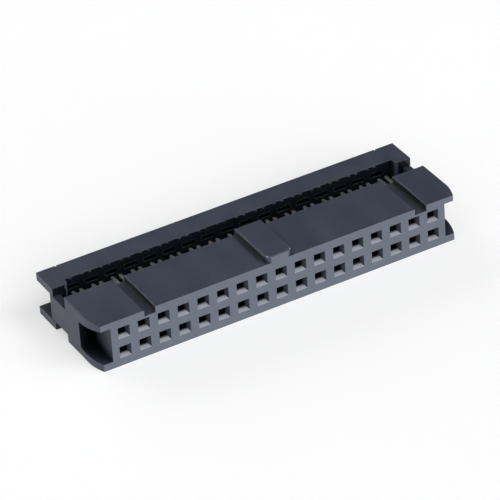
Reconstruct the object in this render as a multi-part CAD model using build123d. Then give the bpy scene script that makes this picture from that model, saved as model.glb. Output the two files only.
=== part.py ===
from build123d import *
import math
import os

# Ribbon cable socket connector, shown as supplied: the cover waits open above the contacts.
# Sizes are in millimetres. X runs along the rows and Z up from the resting side to the key.
# While a piece is drawn, Y is zero on the mating face and grows towards the cover.

# Socket field
columns = 17
pitch = 2.54
core_wall = 1.63
end_reach = 3.50
socket_core = 0.84
socket_mouth = 1.50
lead_in_depth = 0.68

# Housing
body_height = 6.15
body_depth = 7.40
edge_round = 0.15
key_width = 3.50
key_rise = 0.85
key_nose_round = 0.90
key_bevel = 0.12
groove_depth = 0.80
left_block_length = 6.22
left_groove_width = 1.40
right_block_length = 4.32
right_groove_width = 1.55

# Open pockets at the housing's two ends, and the window in the right one
nose_length = 3.20
nose_inset = 0.67
pocket_depth = 4.20
flange_top = 0.75
flange_bottom = 0.90
flange_top_draft = 0.70
flange_bottom_draft = 0.25
window_width = 1.20
window_height = 2.90
window_back_wall = 0.50

# Latch ears, which run from the housing into the cover's ends
ear_thickness = 0.95
ear_height = 3.36
ear_entry = 1.00
ear_bevel = 0.20
tooth_reach = 0.35
tooth_length = 0.45

# Cover
cover_height = 5.62
cover_middle = 3.05
cover_end_step = 0.95
slot_wall = 0.28
step_round = 0.50
end_gap = 3.00
panel_side_inset = 0.60
panel_foot = 0.42
panel_line_width = 0.20
panel_line_depth = 0.18

# Ribbon cable grooves on the two faces that clamp the cable
wire_groove_mouth = 0.86
wire_groove_floor = 0.42
wire_groove_depth = 0.28
groove_lip = 0.85

# Stamped contacts
sheet = 0.35
pin_size = 0.64
pin_grip = 0.08
beam_width = 0.40
beam_gap = 0.90
beam_start = 1.50
grip_length = 0.60
grip_lead = 1.50
web_start = 5.90
web_end = 6.95
tine_width = 0.46
tine_spacing = 0.96
tine_length = 2.80
tine_bevel = 0.16
wire_slot_root = 0.15

# Clearances
contact_gap = 0.05
tip_gap = 0.25
ear_gap = 0.12
stop_gap = 0.05
tine_gap = 0.10
tine_end_gap = 0.25

# Places worked out from the sizes above
half_span = pitch * (columns - 1) / 2
core_half = half_span + core_wall
half_length = half_span + end_reach
wire_pitch = pitch / 2
middle_height = body_height / 2
ear_middle = cover_height / 2
cover_front = body_depth + end_gap
cover_face = cover_front + cover_end_step
cover_back = cover_face + cover_middle
press_travel = end_gap - stop_gap
tine_tip = body_depth + tine_length
ear_inner = half_length - ear_thickness
ear_tip = cover_front + ear_entry
fork_width = tine_spacing + tine_width
cable_recess = half_span + wire_pitch / 2 + fork_width / 2 + tine_gap
slot_edge = cable_recess + slot_wall
column_places = [column * pitch - half_span for column in range(columns)]
wire_places = [place + side * wire_pitch / 2 for place in column_places for side in (-1, 1)]
row_sides = {-1: middle_height + pitch / 2, 1: middle_height - pitch / 2}


def span(x_range, y_range, z_range):
    """A square-edged block between two X, two Y and two Z places."""
    sizes = [high - low for low, high in (x_range, y_range, z_range)]
    middles = [(high + low) / 2 for low, high in (x_range, y_range, z_range)]
    return Pos(*middles) * Box(*sizes)


def both_ends(piece):
    """The piece at the right end and its mirror image at the left end."""
    return [piece, mirror(piece, about=Plane.YZ)]


def front_outline():
    """The housing seen from the mating face: a bar with a groove beside each end block."""
    left_edge = left_block_length - half_length
    right_edge = half_length - right_block_length
    grooves = [(left_edge, left_edge + left_groove_width), (right_edge - right_groove_width, right_edge)]
    outline = Pos(0, middle_height) * Rectangle(2 * half_length, body_height)
    for start, end in grooves:
        floor = body_height - groove_depth
        outline -= Pos((start + end) / 2, floor + groove_depth) * Rectangle(end - start, 2 * groove_depth)
    corners = [v for v in outline.vertices() if abs(v.Y - body_height) < edge_round or abs(v.Y) < edge_round]
    return fillet(corners, edge_round)


def plan_outline():
    """The housing seen from above: straight ends that curve in towards the mating face."""
    bend = (nose_inset**2 + nose_length**2) / (2 * nose_inset)
    half_turn = math.asin(nose_length / bend) / 2
    side = half_length - bend
    nose_middle = (side + bend * math.cos(half_turn), nose_length - bend * math.sin(half_turn))
    nose = half_length - nose_inset
    right = ThreePointArc((nose, 0), nose_middle, (half_length, nose_length))
    back = Polyline((half_length, nose_length), (half_length, body_depth), (0, body_depth))
    front = Line((0, 0), (nose, 0))
    half = make_face(front + right + back + Line((0, body_depth), (0, 0)))
    return half + mirror(half, about=Plane.YZ)


def key():
    """The polarizing key on top of the housing, rounded at its mating end."""
    plan = Pos(0, body_depth / 2) * Rectangle(key_width, body_depth)
    plan = fillet(plan.vertices().group_by(Axis.Y)[0], key_nose_round)
    foot = body_height - groove_depth
    rib = extrude(Pos(0, 0, foot) * plan, groove_depth + key_rise)
    return chamfer(rib.faces().sort_by(Axis.Z)[-1].edges(), key_bevel)


def end_pocket():
    """The drafted pocket between the flanges at the right end, open to the mating face."""
    mouth_top = body_height - flange_top
    side = Polygon(
        (-edge_round, flange_bottom),
        (0, flange_bottom),
        (pocket_depth, flange_bottom + flange_bottom_draft),
        (pocket_depth, mouth_top - flange_top_draft),
        (0, mouth_top),
        (-edge_round, mouth_top),
        align=None,
    )
    return extrude(Plane.YZ.offset(core_half) * side, end_reach)


def end_channel():
    """The channel behind the right ear, from the pocket to the housing's back."""
    low = flange_bottom + flange_bottom_draft
    high = body_height - flange_top - flange_top_draft
    lengths = (pocket_depth - edge_round, body_depth + edge_round)
    return span((core_half, ear_inner), lengths, (low, high))


def end_window():
    """The window through the right end wall, just in front of the housing's back."""
    back = body_depth - window_back_wall
    low = ear_middle - window_height / 2
    widths = (ear_inner - edge_round, half_length + edge_round)
    return span(widths, (back - window_width, back), (low, low + window_height))


def latch_ear():
    """The right ear: an arm flush with the end face, with a tooth inside its bevelled tip."""
    root = body_depth - window_back_wall / 2
    tooth_face = ear_inner - tooth_reach
    plan = Polygon(
        (half_length, root),
        (half_length, ear_tip - ear_bevel),
        (half_length - ear_bevel, ear_tip),
        (tooth_face + ear_bevel, ear_tip),
        (tooth_face, ear_tip - ear_bevel),
        (tooth_face, ear_tip - tooth_length),
        (ear_inner, ear_tip - tooth_length),
        (ear_inner, root),
        align=None,
    )
    return Pos(0, 0, ear_middle - ear_height / 2) * extrude(plan, ear_height)


def taper(wide, high, depth, inset):
    """A block from Y zero to the given depth whose four sides draw in by the inset."""
    ends = (inset, inset, wide - inset, high - inset)
    return Pos(0, depth / 2, 0) * Wedge(wide, depth, high, *ends)


def socket_cutter(side):
    """The room for one contact: lead-in, throat, the fork's room and the wider slot behind."""
    half_core = socket_core / 2
    half_sheet = sheet / 2 + contact_gap
    half_beams = beam_gap / 2 + beam_width + contact_gap
    fork_edge = wire_pitch / 2 + fork_width / 2 + contact_gap
    slot = (-fork_edge, half_beams) if side < 0 else (-half_beams, fork_edge)
    room_start = beam_start - tip_gap
    room_end = web_start - contact_gap
    core = (-half_core, half_core)
    lead_in = taper(socket_mouth, socket_mouth, lead_in_depth, (socket_mouth - socket_core) / 2)
    throat = span(core, (lead_in_depth, room_start), core)
    room = span((-half_beams, half_beams), (room_start, room_end), core)
    back = span(slot, (room_end, body_depth + edge_round), (-half_sheet, half_sheet))
    return lead_in + throat + room + back


def wire_grooves(face, direction, height):
    """Grooves for the cable's wires, cut into a face that looks the given way along Y."""
    floor = face - direction * wire_groove_depth
    mouth = face + direction * edge_round
    half_mouth, half_floor = wire_groove_mouth / 2, wire_groove_floor / 2
    corners = [(-half_mouth, mouth), (-half_mouth, face), (-half_floor, floor)]
    corners += [(-x, y) for x, y in reversed(corners)]
    groove = extrude(Polygon(*corners, align=None), height - 2 * groove_lip)
    return [Pos(place, 0, groove_lip) * groove for place in wire_places]


def make_housing():
    """The moulded housing with its key, end pockets, latch ears and 34 chamfered sockets."""
    bar = extrude(Plane.XZ * front_outline(), -body_depth)
    body = bar & extrude(plan_outline(), body_height)
    body += key()
    body += both_ends(latch_ear())
    body -= both_ends(end_pocket() + end_channel()) + [end_window()]
    body -= wire_grooves(body_depth, 1, body_height)
    sockets = []
    for side, row_height in row_sides.items():
        cutter = socket_cutter(side)
        sockets += [Pos(place, 0, row_height) * cutter for place in column_places]
    return body - sockets


def cover_outline():
    """The cover seen from above: a bar whose two ends reach further towards the housing."""
    depth = cover_back - cover_front
    outline = Pos(0, cover_front + depth / 2) * Rectangle(2 * half_length, depth)
    outline -= Pos(0, cover_front) * Rectangle(2 * cable_recess, 2 * cover_end_step)
    corners = [v for v in outline.vertices() if abs(v.Y - cover_front) < edge_round and abs(v.X) < half_length - edge_round]
    return fillet(corners, step_round)


def end_slot():
    """The slot through the cover's right end that takes the ear, with the tooth's stop rail."""
    half_slot = ear_height / 2 + ear_gap
    heights = (ear_middle - half_slot, ear_middle + half_slot)
    slot = span((slot_edge, half_length + edge_round), (cover_front - edge_round, cover_back), heights)
    rail_back = ear_tip - tooth_length - stop_gap
    rail = span((slot_edge, ear_inner - ear_gap), (cover_front, rail_back), heights)
    return slot - rail


def panel_line():
    """The shallow line that frames the cover's back on three sides, open at the top."""
    half_width = slot_edge - panel_side_inset
    foot = Plane.XZ.offset(-cover_back) * Pos(0, panel_foot + cover_height / 2)
    field = Rectangle(2 * half_width, cover_height)
    inner = Pos(0, panel_line_width) * Rectangle(2 * (half_width - panel_line_width), cover_height)
    return extrude(foot * (field - inner), panel_line_depth, both=True)


def tine_pocket():
    """The blind pocket in the cover that takes one contact's pair of tines."""
    width = fork_width + 2 * tine_gap
    depth = tine_tip - (cover_face - press_travel) + tine_end_gap
    return Pos(0, cover_face + depth / 2, 0) * Box(width, depth, sheet + 2 * tine_gap)


def make_cover():
    """The cover that presses the cable down on to the contacts."""
    cover = extrude(cover_outline(), cover_height)
    cover -= both_ends(end_slot())
    cover -= panel_line()
    cover -= wire_grooves(cover_face, -1, cover_height)
    pocket = tine_pocket()
    pockets = []
    for side, row_height in row_sides.items():
        pockets += [Pos(place + side * wire_pitch / 2, 0, row_height) * pocket for place in column_places]
    return cover - pockets


def pin_fork():
    """Two beams that grip a pin, seen flat, with the web that joins them."""
    grip = (pin_size - pin_grip) / 2
    open_half = beam_gap / 2
    outer = Pos(0, (beam_start + web_end) / 2) * Rectangle(beam_gap + 2 * beam_width, web_end - beam_start)
    between = Polygon(
        (-open_half, beam_start - sheet),
        (-open_half, beam_start),
        (-grip, beam_start + grip_length),
        (-open_half, beam_start + grip_length + grip_lead),
        (-open_half, web_start),
        (open_half, web_start),
        (open_half, beam_start + grip_length + grip_lead),
        (grip, beam_start + grip_length),
        (open_half, beam_start),
        (open_half, beam_start - sheet),
        align=None,
    )
    return outer - between


def wire_fork():
    """Two tines that straddle one wire, seen flat, bevelled towards the slot between them."""
    slot_half = (tine_spacing - tine_width) / 2
    root = body_depth - wire_slot_root
    outer = Pos(0, (web_start + tine_tip) / 2) * Rectangle(fork_width, tine_tip - web_start)
    outer = chamfer(outer.vertices().group_by(Axis.Y)[-1], tine_bevel)
    slot = Polygon(
        (-slot_half, root),
        (-slot_half, tine_tip - 2 * tine_bevel),
        (-slot_half - tine_bevel, tine_tip + tine_bevel),
        (slot_half + tine_bevel, tine_tip + tine_bevel),
        (slot_half, tine_tip - 2 * tine_bevel),
        (slot_half, root),
        align=None,
    )
    return outer - slot


def make_contact(side):
    """One flat stamped contact: its wire fork stands half a wire pitch to one side."""
    profile = pin_fork() + Pos(side * wire_pitch / 2, 0) * wire_fork()
    return extrude(profile, sheet / 2, both=True)


def write(name, piece):
    """Moves a piece to the part's own frame, its middle at zero, and writes its file."""
    placed = Pos(0, -cover_back / 2, 0) * piece
    export_step(placed, f"parts/{name}.step")


os.makedirs("parts", exist_ok=True)
write("housing", make_housing())
write("cover", make_cover())
for row, (side, row_height) in enumerate(row_sides.items()):
    contact = make_contact(side)
    for column, place in enumerate(column_places):
        number = 2 * column + row + 1
        write(f"contact_{number:02d}", Pos(place, 0, row_height) * contact)
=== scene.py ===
"""Ribbon cable socket connector with its cover unpressed, dressed and lit for a studio picture."""

import logging
import math
from dataclasses import dataclass, field
from enum import Enum

import bpy
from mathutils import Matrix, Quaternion, Vector


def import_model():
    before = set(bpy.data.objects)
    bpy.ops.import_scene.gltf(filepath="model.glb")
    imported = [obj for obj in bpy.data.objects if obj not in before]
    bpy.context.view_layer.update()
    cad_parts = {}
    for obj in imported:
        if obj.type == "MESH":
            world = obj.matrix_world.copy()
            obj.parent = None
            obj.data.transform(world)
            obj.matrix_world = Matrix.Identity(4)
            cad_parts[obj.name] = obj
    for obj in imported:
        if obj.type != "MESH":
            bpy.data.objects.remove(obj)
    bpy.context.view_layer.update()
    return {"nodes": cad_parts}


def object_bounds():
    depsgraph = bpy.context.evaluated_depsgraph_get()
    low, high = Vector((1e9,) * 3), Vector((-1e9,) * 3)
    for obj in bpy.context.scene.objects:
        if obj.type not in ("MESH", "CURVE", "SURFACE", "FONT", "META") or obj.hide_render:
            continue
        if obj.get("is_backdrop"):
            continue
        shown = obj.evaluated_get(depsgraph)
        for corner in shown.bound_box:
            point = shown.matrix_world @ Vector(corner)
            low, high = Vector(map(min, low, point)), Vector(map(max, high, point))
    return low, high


log = logging.getLogger("socket_connector")

MM = 0.001
Colour = tuple[float, float, float, float]
Feed = bpy.types.NodeSocket | float | Colour
WHITE: Colour = (1.0, 1.0, 1.0, 1.0)


class Socket(Enum):
    """The kinds of socket that the shared node groups have."""

    VALUE = "NodeSocketFloat"
    VECTOR = "NodeSocketVector"


@dataclass(frozen=True)
class Ramp:
    """A clamped straight line that takes low to to_low and high to to_high."""

    low: float
    high: float
    to_low: float = 0.0
    to_high: float = 1.0


@dataclass
class Nodes:
    """A small helper that adds and joins shader nodes in one node tree."""

    tree: bpy.types.NodeTree

    def add(self, kind: str, **settings: object) -> bpy.types.Node:
        """Adds a node.

        Args:
            kind: Blender's name for the node's type.
            settings: attributes to set on the node.

        Returns:
            The new node.
        """
        node = self.tree.nodes.new(kind)
        for name, value in settings.items():
            setattr(node, name, value)
        return node

    def put(self, node: bpy.types.Node, **values: float | Colour) -> bpy.types.Node:
        """Sets a node's input values.

        Args:
            node: the node to set.
            values: input names, with an underscore for each space, and their values.

        Returns:
            The same node.
        """
        for name, value in values.items():
            node.inputs[name.replace("_", " ")].default_value = value
        return node

    def join(self, source: bpy.types.NodeSocket, target: bpy.types.NodeSocket) -> None:
        """Links one output to one input."""
        self.tree.links.new(source, target)

    def feed(self, target: bpy.types.NodeSocket, value: Feed) -> None:
        """Gives an input a link or a plain value.

        Args:
            target: the input.
            value: an output to link, or a number or colour to set.
        """
        if isinstance(value, bpy.types.NodeSocket):
            self.join(value, target)
        else:
            target.default_value = value

    def place(
        self, group: bpy.types.NodeTree, where: bpy.types.NodeSocket, **values: float
    ) -> bpy.types.Node:
        """Places one of the shared groups.

        Args:
            group: the group.
            where: the coordinates, for a group that reads them.
            values: the group's other inputs, as for put.

        Returns:
            The group's node.
        """
        node = self.put(self.add("ShaderNodeGroup", node_tree=group), **values)
        if "Place" in node.inputs:
            self.join(where, node.inputs["Place"])
        return node

    def noise(
        self, where: bpy.types.NodeSocket, scale: Feed, detail: float = 2.0, rough: float = 0.5
    ) -> bpy.types.NodeSocket:
        """Adds a noise texture.

        Args:
            where: the coordinates that it reads.
            scale: how many cells there are to a metre.
            detail: how many finer layers are added.
            rough: how strong the finer layers are.

        Returns:
            The noise's value.
        """
        node = self.put(self.add("ShaderNodeTexNoise"), Detail=detail, Roughness=rough)
        self.join(where, node.inputs["Vector"])
        self.feed(node.inputs["Scale"], scale)
        return node.outputs["Fac"]

    def remap(self, value: bpy.types.NodeSocket, ramp: Ramp) -> bpy.types.NodeSocket:
        """Takes a value along a ramp.

        Args:
            value: the value.
            ramp: the ramp.

        Returns:
            The remapped value.
        """
        node = self.add("ShaderNodeMapRange", clamp=True)
        self.put(node, From_Min=ramp.low, From_Max=ramp.high, To_Min=ramp.to_low, To_Max=ramp.to_high)
        self.join(value, node.inputs["Value"])
        return node.outputs["Result"]

    def split(self, vector: bpy.types.NodeSocket) -> bpy.types.Node:
        """Splits a vector into its X, Y and Z.

        Args:
            vector: the vector.

        Returns:
            The node, with an output for each.
        """
        node = self.add("ShaderNodeSeparateXYZ")
        self.join(vector, node.inputs["Vector"])
        return node

    def math(self, kind: str, *values: Feed) -> bpy.types.NodeSocket:
        """Adds a math node.

        Args:
            kind: the operation.
            values: an output or a number for each of its inputs.

        Returns:
            The result.
        """
        node = self.add("ShaderNodeMath", operation=kind)
        for place, value in enumerate(values):
            self.feed(node.inputs[place], value)
        return node.outputs[0]

    def times(self, first: Feed, second: Feed) -> bpy.types.NodeSocket:
        """Multiplies two values."""
        return self.math("MULTIPLY", first, second)

    def size(self, value: Feed) -> bpy.types.NodeSocket:
        """Drops a value's sign."""
        return self.math("ABSOLUTE", value)

    def blend(self, mask: bpy.types.NodeSocket, first: Feed, second: Feed) -> bpy.types.NodeSocket:
        """Adds a colour mix.

        Args:
            mask: how much of the second colour shows.
            first: an output or a colour.
            second: an output or a colour.

        Returns:
            The mixed colour.
        """
        node = self.add("ShaderNodeMix", data_type="RGBA")
        self.join(mask, node.inputs["Factor"])
        for name, value in (("A", first), ("B", second)):
            self.feed(next(s for s in node.inputs if s.name == name and s.type == "RGBA"), value)
        return next(s for s in node.outputs if s.type == "RGBA")


def start_group(
    name: str, inputs: dict[str, Socket], outputs: dict[str, Socket]
) -> tuple[Nodes, bpy.types.Node, bpy.types.Node]:
    """Makes an empty shader node group with named sockets.

    Args:
        name: the group's name.
        inputs: the input names and their kinds.
        outputs: the output names and their kinds.

    Returns:
        The helper on the group's tree, its input node and its output node.
    """
    tree = bpy.data.node_groups.new(name, "ShaderNodeTree")
    for label, kind in inputs.items():
        tree.interface.new_socket(name=label, in_out="INPUT", socket_type=kind.value)
    for label, kind in outputs.items():
        tree.interface.new_socket(name=label, in_out="OUTPUT", socket_type=kind.value)
    nodes = Nodes(tree)
    return nodes, nodes.add("NodeGroupInput"), nodes.add("NodeGroupOutput")


@dataclass(frozen=True)
class SatinGrain:
    """The satin grain of a moulded or rolled surface."""

    grain_detail: float = 3.0
    grain_rough: float = 0.6
    patch_detail: float = 4.0
    patch_rough: float = 0.55
    gloss: Ramp = Ramp(0.7, 1.3)
    mottle: Ramp = Ramp(0.35, 0.65)

    def build(self) -> bpy.types.NodeTree:
        """Builds the effect.

        Returns:
            A group that gives a height, a gloss value and a mottling mask.
        """
        inputs = {"Place": Socket.VECTOR, "Grain Scale": Socket.VALUE, "Patch Scale": Socket.VALUE}
        outputs = {"Height": Socket.VALUE, "Gloss": Socket.VALUE, "Mottle": Socket.VALUE}
        nodes, source, result = start_group("satin_grain", inputs, outputs)
        where = source.outputs["Place"]
        fine = nodes.noise(where, source.outputs["Grain Scale"], self.grain_detail, self.grain_rough)
        patch = nodes.noise(where, source.outputs["Patch Scale"], self.patch_detail, self.patch_rough)
        nodes.join(fine, result.inputs["Height"])
        nodes.join(nodes.remap(nodes.math("ADD", fine, patch), self.gloss), result.inputs["Gloss"])
        nodes.join(nodes.remap(patch, self.mottle), result.inputs["Mottle"])
        return nodes.tree


@dataclass(frozen=True)
class EdgeWearAndHighlight:
    """The softened look of an outer edge, with a mask for its rubbed colour, which on the plastics is
    partly a painted highlight.
    """

    samples: int = 6
    bend: Ramp = Ramp(0.995, 0.90)
    chip_detail: float = 3.0
    chip_rough: float = 0.65
    chips: Ramp = Ramp(0.38, 0.62, to_low=0.35)
    rim: Ramp = Ramp(0.1, 0.4, to_low=0.3)

    def build(self) -> bpy.types.NodeTree:
        """Builds the effect.

        Returns:
            A group that gives a rounded normal and a mask of rubbing and painted highlight, which is
            strongest on the edges of the mating face and of the cover's back.
        """
        inputs = {
            "Place": Socket.VECTOR,
            "Radius": Socket.VALUE,
            "Breakup Scale": Socket.VALUE,
            "Amount": Socket.VALUE,
        }
        outputs = {"Normal": Socket.VECTOR, "Wear And Highlight": Socket.VALUE}
        nodes, source, result = start_group("edge_wear_and_highlight", inputs, outputs)
        round_off = nodes.add("ShaderNodeBevel", samples=self.samples)
        nodes.join(source.outputs["Radius"], round_off.inputs["Radius"])
        rounded = round_off.outputs["Normal"]
        turn = nodes.add("ShaderNodeVectorMath", operation="DOT_PRODUCT")
        nodes.join(rounded, turn.inputs[0])
        nodes.join(nodes.add("ShaderNodeNewGeometry").outputs["Normal"], turn.inputs[1])
        bent = nodes.remap(turn.outputs["Value"], self.bend)
        breakup = source.outputs["Breakup Scale"]
        chips = nodes.noise(source.outputs["Place"], breakup, self.chip_detail, self.chip_rough)
        # The rim weight makes the mask strongest on edges of faces along Y; on the plastics it paints a
        # highlight on those rims.
        rim = nodes.remap(nodes.size(nodes.split(rounded).outputs["Y"]), self.rim)
        edge_toned = nodes.times(nodes.times(bent, nodes.remap(chips, self.chips)), rim)
        nodes.join(rounded, result.inputs["Normal"])
        nodes.join(nodes.times(edge_toned, source.outputs["Amount"]), result.inputs["Wear And Highlight"])
        return nodes.tree


@dataclass(frozen=True)
class LightDust:
    """A thin scatter of dust on faces that look up."""

    speck_detail: float = 6.0
    speck_rough: float = 0.7
    specks: Ramp = Ramp(0.56, 0.72)
    upward: Ramp = Ramp(0.2, 0.9)

    def build(self) -> bpy.types.NodeTree:
        """Builds the effect.

        Returns:
            A group that gives the dust's mask.
        """
        inputs = {"Place": Socket.VECTOR, "Speck Scale": Socket.VALUE, "Amount": Socket.VALUE}
        nodes, source, result = start_group("light_dust", inputs, {"Dust": Socket.VALUE})
        speck_scale = source.outputs["Speck Scale"]
        specks = nodes.noise(source.outputs["Place"], speck_scale, self.speck_detail, self.speck_rough)
        facing = nodes.split(nodes.add("ShaderNodeNewGeometry").outputs["Normal"])
        upward = nodes.remap(facing.outputs["Z"], self.upward)
        dust = nodes.times(upward, nodes.remap(specks, self.specks))
        nodes.join(nodes.times(dust, source.outputs["Amount"]), result.inputs["Dust"])
        return nodes.tree


@dataclass(frozen=True)
class GatheredShade:
    """The shade that gathers in gaps, grooves and sockets, from a piece's own walls or from all."""

    name: str
    alone: bool
    samples: int = 8

    def build(self) -> bpy.types.NodeTree:
        """Builds the effect.

        Returns:
            A group that gives one in the open and zero deep inside a recess.
        """
        inputs = {"Reach": Socket.VALUE, "Closed": Socket.VALUE, "Clear": Socket.VALUE}
        nodes, source, result = start_group(self.name, inputs, {"Open": Socket.VALUE})
        around = nodes.add("ShaderNodeAmbientOcclusion", samples=self.samples, only_local=self.alone)
        nodes.join(source.outputs["Reach"], around.inputs["Distance"])
        spread = nodes.add("ShaderNodeMapRange", clamp=True, interpolation_type="SMOOTHSTEP")
        nodes.join(around.outputs["AO"], spread.inputs["Value"])
        nodes.join(source.outputs["Closed"], spread.inputs["From Min"])
        nodes.join(source.outputs["Clear"], spread.inputs["From Max"])
        nodes.join(spread.outputs["Result"], result.inputs["Open"])
        return nodes.tree


@dataclass(frozen=True)
class PaintedLightMasks:
    """Where the mould's faces are painted: painted light on the two outer faces, painted shadow on the
    faces that clamp the cable and a painted highlight on the lower lead-ins.
    """

    along: Ramp = Ramp(0.90, 0.98)
    outer: Ramp = Ramp(0.05 * MM, 0.15 * MM, to_low=1.0, to_high=0.0)
    off_lean: Ramp = Ramp(0.05, 0.10, to_low=1.0, to_high=0.0)
    shallow: Ramp = Ramp(0.40 * MM, 0.66 * MM, to_low=1.0, to_high=0.0)
    lower: Ramp = Ramp(0.5, 0.7)
    upright: Ramp = Ramp(0.2, 0.4, to_low=1.0, to_high=0.0)

    def build(self) -> bpy.types.NodeTree:
        """Builds the effect.

        Returns:
            A group that gives a mask of the two outer faces, one of the faces that clamp the cable,
            one of the lower lead-ins and one of the side lead-ins.
        """
        inputs = {"Place": Socket.VECTOR, "Half Depth": Socket.VALUE, "Lean": Socket.VALUE}
        outputs = {name: Socket.VALUE for name in ("Outer", "Clamp", "Lead-in", "Side")}
        nodes, source, result = start_group("painted_light_masks", inputs, outputs)
        facing = nodes.split(nodes.add("ShaderNodeNewGeometry").outputs["True Normal"])
        where = nodes.split(source.outputs["Place"])
        along = nodes.remap(nodes.size(facing.outputs["Y"]), self.along)
        inside = nodes.math("SUBTRACT", source.outputs["Half Depth"], nodes.size(where.outputs["Y"]))
        outer = nodes.remap(inside, self.outer)
        nodes.join(nodes.times(along, outer), result.inputs["Outer"])
        nodes.join(nodes.times(along, nodes.math("SUBTRACT", 1.0, outer)), result.inputs["Clamp"])
        off_lean = nodes.size(nodes.math("ADD", facing.outputs["Y"], source.outputs["Lean"]))
        leaning = nodes.remap(off_lean, self.off_lean)
        shallow = nodes.times(leaning, nodes.remap(inside, self.shallow))
        lower = nodes.remap(facing.outputs["Z"], self.lower)
        nodes.join(nodes.times(shallow, lower), result.inputs["Lead-in"])
        upright = nodes.remap(nodes.size(facing.outputs["Z"]), self.upright)
        nodes.join(nodes.times(shallow, upright), result.inputs["Side"])
        return nodes.tree


@dataclass
class Effects:
    """The effects that the materials share, each one built once as a node group."""

    grain: bpy.types.NodeTree = field(init=False)
    edges: bpy.types.NodeTree = field(init=False)
    dust: bpy.types.NodeTree = field(init=False)
    recess: bpy.types.NodeTree = field(init=False)
    shelter: bpy.types.NodeTree = field(init=False)
    light_masks: bpy.types.NodeTree = field(init=False)

    def __post_init__(self) -> None:
        """Builds the six groups."""
        self.grain = SatinGrain().build()
        self.edges = EdgeWearAndHighlight().build()
        self.dust = LightDust().build()
        self.recess = GatheredShade("recess_shade", alone=True).build()
        self.shelter = GatheredShade("shelter_shade", alone=False).build()
        self.light_masks = PaintedLightMasks().build()


def start_material(name: str) -> tuple[bpy.types.Material, Nodes, bpy.types.Node, bpy.types.NodeSocket]:
    """Starts a material with its shader and its coordinates.

    Args:
        name: the material's name.

    Returns:
        The material, the helper on its tree, its shader and its Object coordinates.
    """
    material = bpy.data.materials.new(name)
    material.use_nodes = True
    nodes = Nodes(material.node_tree)
    shader = material.node_tree.nodes["Principled BSDF"]
    coordinates = nodes.add("ShaderNodeTexCoord")
    return material, nodes, shader, coordinates.outputs["Object"]


@dataclass(frozen=True)
class Relief:
    """How a surface's bump is made: its full depth and how strongly it shows."""

    depth: float
    strength: float

    def build(
        self, nodes: Nodes, height: bpy.types.NodeSocket, normal: bpy.types.NodeSocket
    ) -> bpy.types.NodeSocket:
        """Adds the bump.

        Args:
            nodes: the helper on the material's tree.
            height: the height that it follows.
            normal: the normal that it starts from.

        Returns:
            The bumped normal.
        """
        bump = nodes.put(nodes.add("ShaderNodeBump"), Strength=self.strength, Distance=self.depth)
        nodes.join(height, bump.inputs["Height"])
        nodes.join(normal, bump.inputs["Normal"])
        return bump.outputs["Normal"]


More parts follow.
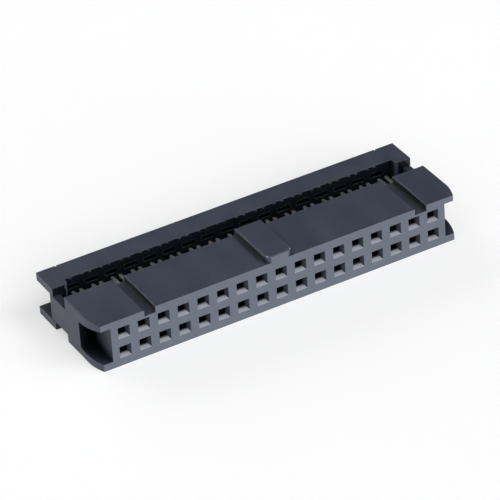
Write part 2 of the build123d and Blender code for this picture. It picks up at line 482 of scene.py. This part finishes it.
@dataclass(frozen=True)
class MouldedPlastic:
    """Filled moulded plastic with a satin skin and flow marks, painted light on its two outer faces and
    lower lead-ins, and paler edges that are partly rubbed and partly a painted highlight.

    Lengths are in metres, scales in cells to a metre. A recess gets painted shade from where the
    openness round it falls under recess_clear, fully at recess_closed, and turns slick in its depth.
    """

    name: str
    deep: Colour
    pale: Colour
    # The paler colour of the edges, partly rubbing and partly a painted highlight.
    edge: Colour
    # Painted light: the paler colour that the two outer faces are painted, for the light that falls on
    # them.
    lit_end: Colour = (0.112, 0.131, 0.155, 1.0)
    # Painted highlight: the pale colour of the lower lead-ins, where light falls into the sockets.
    lit_lead_in: Colour = (0.255, 0.272, 0.305, 1.0)
    dust: Colour = (0.30, 0.31, 0.33, 1.0)
    shadow: Colour = (0.0008, 0.0015, 0.0028, 1.0)
    lit_end_share: float = 0.6
    clamp_share: float = 0.9
    side_share: float = 0.55
    patch_share: float = 0.65
    flow_share: float = 0.35
    gloss: Ramp = Ramp(0.0, 1.0, to_low=0.42, to_high=0.58)
    slick: float = 0.10
    satin: Ramp = Ramp(0.0, 0.1)
    sheen: float = 0.35
    ior: float = 1.5
    grain_scale: float = 9000.0
    grain_relief: Relief = Relief(depth=0.006 * MM, strength=0.35)
    patch_scale: float = 260.0
    flow_scale: float = 55.0
    flow_wander: float = 5.0
    flow_detail: float = 3.0
    edge_radius: float = 0.09 * MM
    chip_scale: float = 2200.0
    edge_amount: float = 0.8
    speck_scale: float = 5200.0
    dust_amount: float = 0.10
    half_depth: float = 7.2 * MM
    lead_in_lean: float = 0.437
    recess_reach: float = 4.5 * MM
    recess_closed: float = 0.42
    recess_clear: float = 0.88

    def skin(
        self, nodes: Nodes, where: bpy.types.NodeSocket, mottle: bpy.types.NodeSocket
    ) -> bpy.types.NodeSocket:
        """Adds the plain plastic's colour, with its patches and flow marks.

        Args:
            nodes: the helper on the material's tree.
            where: the coordinates that it reads.
            mottle: the mask of the patches.

        Returns:
            The colour.
        """
        flow = nodes.add("ShaderNodeTexWave", wave_profile="SIN")
        nodes.put(flow, Scale=self.flow_scale, Distortion=self.flow_wander, Detail=self.flow_detail)
        nodes.join(where, flow.inputs["Vector"])
        streaks = nodes.times(flow.outputs["Fac"], self.flow_share)
        patches = nodes.times(mottle, self.patch_share)
        return nodes.blend(nodes.math("ADD", patches, streaks), self.deep, self.pale)

    def build(self, effects: Effects) -> bpy.types.Material:
        """Builds the plastic.

        Args:
            effects: the shared node groups.

        Returns:
            The material.
        """
        material, nodes, shader, where = start_material(self.name)
        grain = nodes.place(
            effects.grain, where, Grain_Scale=self.grain_scale, Patch_Scale=self.patch_scale
        )
        edges = nodes.place(
            effects.edges,
            where,
            Radius=self.edge_radius,
            Breakup_Scale=self.chip_scale,
            Amount=self.edge_amount,
        )
        dust = nodes.place(effects.dust, where, Speck_Scale=self.speck_scale, Amount=self.dust_amount)
        light_masks = nodes.place(effects.light_masks, where, Half_Depth=self.half_depth, Lean=self.lead_in_lean)
        recess = nodes.place(
            effects.recess,
            where,
            Reach=self.recess_reach,
            Closed=self.recess_closed,
            Clear=self.recess_clear,
        )

        skin = self.skin(nodes, where, grain.outputs["Mottle"])
        # Painted light: the mating face and the cover's back are painted paler, as if more brightly
        # lit.
        ends = nodes.blend(nodes.times(light_masks.outputs["Outer"], self.lit_end_share), skin, self.lit_end)
        # Partly painted highlight: the edges are painted paler, partly for rubbing and partly for the
        # light they catch.
        edge_toned = nodes.blend(edges.outputs["Wear And Highlight"], ends, self.edge)
        # Painted shadow: the faces that clamp the cable, deep in the gap between housing and cover, are
        # painted near black.
        clamps = nodes.blend(nodes.times(light_masks.outputs["Clamp"], self.clamp_share), edge_toned, self.shadow)
        # Painted highlight: the lower lead-ins of the sockets are painted pale, as if lit from above.
        body = nodes.blend(light_masks.outputs["Lead-in"], clamps, self.lit_lead_in)
        dusty = nodes.blend(dust.outputs["Dust"], body, self.dust)
        sides = nodes.times(light_masks.outputs["Side"], self.side_share)
        lead_ins = nodes.math("MAXIMUM", sides, light_masks.outputs["Lead-in"])
        # Painted shade: recesses are painted towards the shadow colour, except on the lead-ins.
        open_here = nodes.math("MAXIMUM", recess.outputs["Open"], lead_ins)
        nodes.join(nodes.blend(open_here, self.shadow, dusty), shader.inputs["Base Color"])

        outside = nodes.remap(nodes.math("SUBTRACT", open_here, light_masks.outputs["Clamp"]), self.satin)
        satin = nodes.times(nodes.remap(grain.outputs["Gloss"], self.gloss), outside)
        nodes.join(nodes.math("MAXIMUM", satin, self.slick), shader.inputs["Roughness"])
        normal = self.grain_relief.build(nodes, grain.outputs["Height"], edges.outputs["Normal"])
        nodes.join(normal, shader.inputs["Normal"])
        nodes.put(shader, Specular_IOR_Level=self.sheen, IOR=self.ior)
        return material


@dataclass(frozen=True)
class TinnedBronze:
    """Stamped bronze sheet under bright tin, with fine rolling lines.

    Lengths are in metres, scales in cells to a metre.
    """

    name: str
    tin: Colour = (0.80, 0.79, 0.76, 1.0)
    dull: Colour = (0.60, 0.58, 0.54, 1.0)
    bronze: Colour = (0.62, 0.42, 0.22, 1.0)
    shadow: Colour = (0.010, 0.011, 0.013, 1.0)
    gloss: Ramp = Ramp(0.4, 1.6, to_low=0.18, to_high=0.40)
    grain_scale: float = 14000.0
    patch_scale: float = 1500.0
    line_stretch: tuple[float, float, float] = (9000.0, 500.0, 9000.0)
    line_rough: float = 0.6
    line_relief: Relief = Relief(depth=0.003 * MM, strength=0.3)
    edge_radius: float = 0.02 * MM
    chip_scale: float = 6000.0
    edge_amount: float = 0.15
    recess_reach: float = 4.5 * MM
    recess_closed: float = 0.25
    recess_clear: float = 0.75

    def build(self, effects: Effects) -> bpy.types.Material:
        """Builds the metal.

        Args:
            effects: the shared node groups.

        Returns:
            The material.
        """
        material, nodes, shader, where = start_material(self.name)
        grain = nodes.place(
            effects.grain, where, Grain_Scale=self.grain_scale, Patch_Scale=self.patch_scale
        )
        edges = nodes.place(
            effects.edges,
            where,
            Radius=self.edge_radius,
            Breakup_Scale=self.chip_scale,
            Amount=self.edge_amount,
        )
        shelter = nodes.place(
            effects.shelter,
            where,
            Reach=self.recess_reach,
            Closed=self.recess_closed,
            Clear=self.recess_clear,
        )
        stretch = nodes.add("ShaderNodeMapping", vector_type="POINT")
        nodes.put(stretch, Scale=self.line_stretch)
        nodes.join(where, stretch.inputs["Vector"])
        lines = nodes.noise(stretch.outputs["Vector"], scale=1.0, rough=self.line_rough)

        plate = nodes.blend(grain.outputs["Mottle"], self.tin, self.dull)
        edge_toned = nodes.blend(edges.outputs["Wear And Highlight"], plate, self.bronze)
        # Painted shade: sheltered parts of the contacts are painted towards the shadow colour.
        nodes.join(nodes.blend(shelter.outputs["Open"], self.shadow, edge_toned), shader.inputs["Base Color"])
        gloss = nodes.remap(nodes.math("ADD", grain.outputs["Gloss"], lines), self.gloss)
        nodes.join(gloss, shader.inputs["Roughness"])
        normal = self.line_relief.build(nodes, lines, edges.outputs["Normal"])
        nodes.join(normal, shader.inputs["Normal"])
        nodes.put(shader, Metallic=1.0)
        return material


@dataclass(frozen=True)
class PaleFloor:
    """The plain matt table of the studio, lit faintly from below."""

    name: str = "pale_floor"
    tone: Colour = (0.60, 0.60, 0.605, 1.0)
    shade: Colour = (0.58, 0.58, 0.585, 1.0)
    patch_scale: float = 40.0
    glow: float = 0.45
    rough: float = 0.9
    sheen: float = 0.1

    def build(self) -> bpy.types.Material:
        """Builds the floor's matt paint.

        Returns:
            The material.
        """
        material, nodes, shader, where = start_material(self.name)
        paint = nodes.blend(nodes.noise(where, self.patch_scale), self.tone, self.shade)
        nodes.join(paint, shader.inputs["Base Color"])
        nodes.put(shader, Roughness=self.rough, Specular_IOR_Level=self.sheen)
        nodes.put(shader, Emission_Color=WHITE, Emission_Strength=self.glow)
        return material


def dress(node: bpy.types.Object, material: bpy.types.Material) -> None:
    """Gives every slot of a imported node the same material.

    Args:
        node: the node's object.
        material: the material.
    """
    if not node.material_slots:
        node.data.materials.append(material)
    for held in node.material_slots:
        held.material = material
    log.info("%s dressed in %s", node.name, material.name)


@dataclass
class Moulding:
    """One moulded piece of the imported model."""

    nodes: dict[str, bpy.types.Object]
    effects: Effects
    name: str
    finish: MouldedPlastic

    def build(self) -> None:
        """Dresses the piece in its plastic."""
        dress(self.nodes[self.name], self.finish.build(self.effects))


@dataclass
class Housing(Moulding):
    """The moulded body with its sockets, key, end pockets and latch ears."""

    name: str = "housing"
    finish: MouldedPlastic = MouldedPlastic(
        name="housing_plastic",
        deep=(0.029, 0.036, 0.057, 1.0),
        pale=(0.040, 0.049, 0.073, 1.0),
        edge=(0.14, 0.155, 0.19, 1.0),
    )


@dataclass
class Cover(Moulding):
    """The cover that is pressed on to the cable."""

    name: str = "cover"
    finish: MouldedPlastic = MouldedPlastic(
        name="cover_plastic",
        deep=(0.031, 0.038, 0.058, 1.0),
        pale=(0.042, 0.051, 0.075, 1.0),
        edge=(0.15, 0.165, 0.20, 1.0),
        flow_scale=70.0,
    )


@dataclass
class Contacts:
    """The stamped contacts, one in each socket."""

    nodes: dict[str, bpy.types.Object]
    effects: Effects
    prefix: str = "contact_"
    finish: TinnedBronze = TinnedBronze(name="tinned_bronze")

    def build(self) -> None:
        """Dresses every contact in tinned bronze."""
        metal = self.finish.build(self.effects)
        for name, node in sorted(self.nodes.items()):
            if name.startswith(self.prefix):
                dress(node, metal)


def direction(azimuth: float, elevation: float) -> Vector:
    """The direction from the object towards a camera or light.

    Args:
        azimuth: degrees round from the mating face's side, positive towards the right end.
        elevation: degrees above the horizon.

    Returns:
        A unit vector.
    """
    turn, rise = math.radians(azimuth), math.radians(elevation)
    return Vector((math.sin(turn) * math.cos(rise), -math.cos(turn) * math.cos(rise), math.sin(rise)))


def stand(name: str, data: bpy.types.ID, turn: Quaternion) -> bpy.types.Object:
    """Adds a lamp or a camera to the scene.

    Args:
        name: the new object's name.
        data: the lamp or the camera.
        turn: the way it is turned.

    Returns:
        The object.
    """
    holder = bpy.data.objects.new(name, data)
    bpy.context.scene.collection.objects.link(holder)
    holder.rotation_mode = "QUATERNION"
    holder.rotation_quaternion = turn
    log.info("%s set up", name)
    return holder


@dataclass(frozen=True)
class SoftSun:
    """One broad, even studio light, given by where it shines from."""

    name: str
    azimuth: float
    elevation: float
    strength: float
    spread: float

    def build(self) -> None:
        """Hangs the light."""
        lamp = bpy.data.lights.new(self.name, "SUN")
        lamp.energy = self.strength
        lamp.angle = math.radians(self.spread)
        stand(self.name, lamp, direction(self.azimuth, self.elevation).to_track_quat("Z", "Y"))


@dataclass
class Studio:
    """The floor, the soft light and the camera at the photograph's viewing angle."""

    floor_half: float = 3.0
    floor_drop: float = 0.01 * MM
    sky: float = 0.10
    backdrop: float = 0.97
    camera_azimuth: float = -27.8
    camera_elevation: float = 33.8
    camera_roll: float = 4.0
    camera_distance: float = 414 * MM
    camera_clip: float = 41.4 * MM
    pixels_per_mm: float = 8.7
    image_width: float = 500.0
    sensor_width: float = 36.0
    lights: tuple[SoftSun, ...] = (
        SoftSun("key_light", azimuth=48.0, elevation=44.0, strength=1.35, spread=40.0),
        SoftSun("front_fill", azimuth=-4.0, elevation=12.0, strength=3.5, spread=60.0),
        SoftSun("left_fill", azimuth=-70.0, elevation=24.0, strength=0.5, spread=40.0),
        SoftSun("glint", azimuth=-40.0, elevation=27.0, strength=0.13, spread=12.0),
        SoftSun("back_fill", azimuth=-166.0, elevation=10.0, strength=2.4, spread=60.0),
    )

    def build_floor(self) -> None:
        """Lays the plain pale floor."""
        bpy.ops.object.select_all(action="DESELECT")
        bpy.ops.mesh.primitive_plane_add(size=2 * self.floor_half, location=(0, 0, 0))
        floor = bpy.context.active_object
        floor.name = "studio_floor"
        floor.data.transform(floor.matrix_world)
        floor.location.z = -self.floor_drop
        floor.data.materials.append(PaleFloor().build())
        floor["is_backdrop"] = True
        log.info("%s laid", floor.name)

    def build_sky(self) -> None:
        """Makes the dim surroundings, which look pale to the camera alone."""
        world = bpy.data.worlds.new("studio_room")
        bpy.context.scene.world = world
        world.use_nodes = True
        nodes = Nodes(world.node_tree)
        room = nodes.put(world.node_tree.nodes["Background"], Color=WHITE)
        seen = nodes.add("ShaderNodeLightPath").outputs["Is Camera Ray"]
        brightness = nodes.remap(seen, Ramp(0.0, 1.0, to_low=self.sky, to_high=self.backdrop))
        nodes.join(brightness, room.inputs["Strength"])

    def build_camera(self) -> None:
        """Sets the camera where the photograph was taken from, turned as it was held."""
        low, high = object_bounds()
        back = direction(self.camera_azimuth, self.camera_elevation)
        camera = bpy.data.cameras.new("photo_camera")
        camera.sensor_width = self.sensor_width
        shown = self.pixels_per_mm / MM * self.camera_distance / self.image_width
        camera.lens = shown * self.sensor_width
        camera.clip_start = self.camera_clip
        roll = Quaternion((0, 0, 1), -math.radians(self.camera_roll))
        holder = stand("photo_camera", camera, (-back).to_track_quat("-Z", "Y") @ roll)
        holder.location = (low + high) / 2 + back * self.camera_distance
        bpy.context.scene.camera = holder

    def build(self) -> None:
        """Builds the whole studio."""
        self.build_floor()
        self.build_sky()
        for light in self.lights:
            light.build()
        self.build_camera()
        bpy.context.scene.view_settings.view_transform = "Standard"


def main() -> None:
    """Builds the connector piece by piece and then the studio round it."""
    logging.basicConfig(level=logging.INFO, format="%(name)s: %(message)s")
    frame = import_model()
    effects = Effects()
    for assembly in (Housing, Cover, Contacts):
        assembly(frame["nodes"], effects).build()
    Studio().build()


if __name__ == "__main__":
    main()
